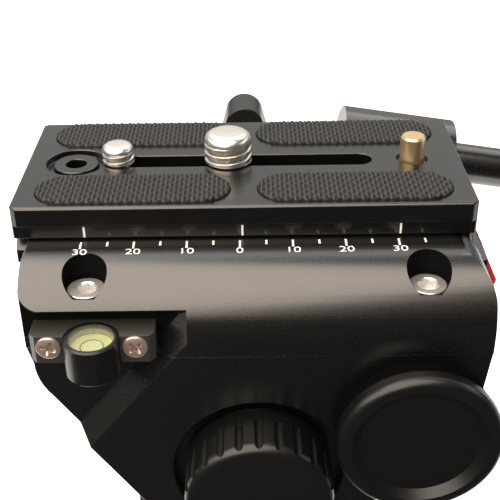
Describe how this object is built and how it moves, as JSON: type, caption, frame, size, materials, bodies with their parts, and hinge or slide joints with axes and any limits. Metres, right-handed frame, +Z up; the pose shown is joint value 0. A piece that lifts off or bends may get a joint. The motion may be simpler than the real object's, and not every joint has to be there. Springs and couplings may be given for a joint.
{
  "type": "fluid video head",
  "caption": "Tilting and panning camera head with a sliding dovetail plate, captive camera screws, bubble level, drag knobs and a pan handle.",
  "frame": {"origin": "middle of the base's underside, on the pan axis at the mouth of the tripod thread", "axes": "+Z up along the pan axis, +X to the operator's end, -Y to the side with the level"},
  "size_m": [0.2771, 0.112, 0.1184],
  "materials": {
    "black_body": "satin black anodised",
    "steel": "turned",
    "bare_aluminium": "turned",
    "bronze": "turned",
    "nylon": "plain",
    "black_plastic": "fine grain",
    "rubber": "textured",
    "red_plastic": "moulded",
    "level_fluid": "clear tinted",
    "glass": "clear"
  },
  "bodies": {
    "base": {"base_flange": "black_body", "degree_ring": "black_body", "pan_spindle": "steel", "spindle_screws": "steel", "pan_fluid_cup": "bare_aluminium", "pan_thrust_washer": "nylon", "spindle_washer": "steel", "spindle_nut": "steel"},
    "pan": {"pan_housing": "black_body", "pan_bush": "bronze", "pan_brake_shoe": "nylon", "tilt_axle": "steel", "tilt_damper_drum": "bare_aluminium", "counterbalance_spring": "steel"},
    "pan_lock": {"pan_lock_knob": "black_plastic", "pan_lock_screw": "steel"},
    "tilt": {"platform_deck": "black_body", "near_side_block": "black_body", "far_side_block": "black_body", "near_housing": "black_body", "far_housing": "black_body", "block_screws": "steel", "near_tilt_bush": "bronze", "far_tilt_bush": "bronze", "level_bracket": "black_body", "level_cup": "black_plastic", "level_fluid": "level_fluid", "level_window": "glass", "level_screws": "steel", "near_rosette": "black_body", "far_rosette": "black_body", "catch_pivot_pin": "steel", "catch_spring": "steel"},
    "catch": {"safety_catch": "red_plastic"},
    "tilt_drag": {"tilt_drag_knob": "black_plastic"},
    "tilt_lock": {"tilt_lock_lever": "black_plastic"},
    "cap": {"rosette_cap": "black_plastic"},
    "plate_lock": {"plate_lock_lever": "black_plastic"},
    "jaw": {"clamp_jaw": "black_body"},
    "plate": {"sliding_plate": "black_body", "pad_front_near": "rubber", "pad_rear_near": "rubber", "pad_front_far": "rubber", "pad_rear_far": "rubber", "pin_spring": "steel", "pin_plug": "steel"},
    "pin": {"locating_pin": "bronze"},
    "quarter_slide": {"quarter_washer": "nylon"},
    "quarter_turn": {"quarter_screw": "steel"},
    "large_slide": {"large_washer": "nylon"},
    "large_turn": {"large_screw": "steel"},
    "handle": {"handle_bracket": "black_body", "handle_rod": "black_body", "handle_grip": "rubber", "grip_end_cap": "black_plastic"},
    "handle_clamp": {"handle_clamp_knob": "black_plastic", "handle_bolt": "steel"}
  },
  "joints": [
    {"name": "pan_turn", "type": "hinge", "parent": "base", "child": "pan", "pos_m": [0, 0, 0.0134], "axis": [0, 0, 1], "continuous": true},
    {"name": "pan_lock_turn", "type": "hinge", "parent": "pan", "child": "pan_lock", "pos_m": [0, -0.0365, 0.018], "axis": [0, 1, 0], "range_deg": [0, 270]},
    {"name": "tilt_turn", "type": "hinge", "parent": "pan", "child": "tilt", "pos_m": [0, 0, 0.06], "axis": [0, 1, 0], "range_deg": [-75, 60]},
    {"name": "catch_turn", "type": "hinge", "parent": "tilt", "child": "catch", "pos_m": [-0.026, 0, 0.0935], "axis": [0, 1, 0], "range_deg": [0, 6], "stiffness_Nm_per_rad": 0.5, "springref_deg": -5.73},
    {"name": "tilt_drag_turn", "type": "hinge", "parent": "tilt", "child": "tilt_drag", "pos_m": [0, -0.0345, 0.06], "axis": [0, 1, 0], "range_deg": [-150, 150]},
    {"name": "tilt_lock_turn", "type": "hinge", "parent": "tilt", "child": "tilt_lock", "pos_m": [0, 0.0345, 0.06], "axis": [0, 1, 0], "range_deg": [0, 60]},
    {"name": "cap_turn", "type": "hinge", "parent": "tilt", "child": "cap", "pos_m": [0.0305, -0.037, 0.0713], "axis": [0, 1, 0], "range_deg": [-170, 170]},
    {"name": "plate_lock_turn", "type": "hinge", "parent": "tilt", "child": "plate_lock", "pos_m": [-0.0022, 0.035, 0.095], "axis": [0, 1, 0], "range_deg": [-90, 0]},
    {"name": "jaw_slide", "type": "slide", "parent": "tilt", "child": "jaw", "axis": [0, 1, 0], "range_m": [0, 0.0004]},
    {"name": "plate_slide", "type": "slide", "parent": "tilt", "child": "plate", "axis": [1, 0, 0], "range_m": [-0.03, 0.03]},
    {"name": "pin_press", "type": "slide", "parent": "plate", "child": "pin", "axis": [0, 0, 1], "range_m": [-0.004, 0], "stiffness_N_per_m": 300, "springref_m": 0.004, "deforming": ["pin_spring"]},
    {"name": "quarter_move", "type": "slide", "parent": "plate", "child": "quarter_slide", "axis": [1, 0, 0], "range_m": [0, 0.003]},
    {"name": "quarter_turn", "type": "hinge", "parent": "quarter_slide", "child": "quarter_turn", "pos_m": [-0.0277, 0, 0.108], "axis": [0, 0, 1], "continuous": true},
    {"name": "large_move", "type": "slide", "parent": "plate", "child": "large_slide", "axis": [1, 0, 0], "range_m": [-0.004, 0.024]},
    {"name": "large_turn", "type": "hinge", "parent": "large_slide", "child": "large_turn", "pos_m": [-0.0054, 0, 0.108], "axis": [0, 0, 1], "continuous": true},
    {"name": "handle_turn", "type": "hinge", "parent": "tilt", "child": "handle", "pos_m": [0.0305, 0, 0.0713], "axis": [0, 1, 0], "range_deg": [-40, 45]},
    {"name": "handle_clamp_turn", "type": "hinge", "parent": "handle", "child": "handle_clamp", "pos_m": [0.0305, 0, 0.0713], "axis": [0, 1, 0], "range_deg": [-170, 170]}
  ],
  "couplings": [
    {"joint": "jaw_slide", "follows": "plate_lock_turn", "m_per_rad": -0.000254}
  ]
}
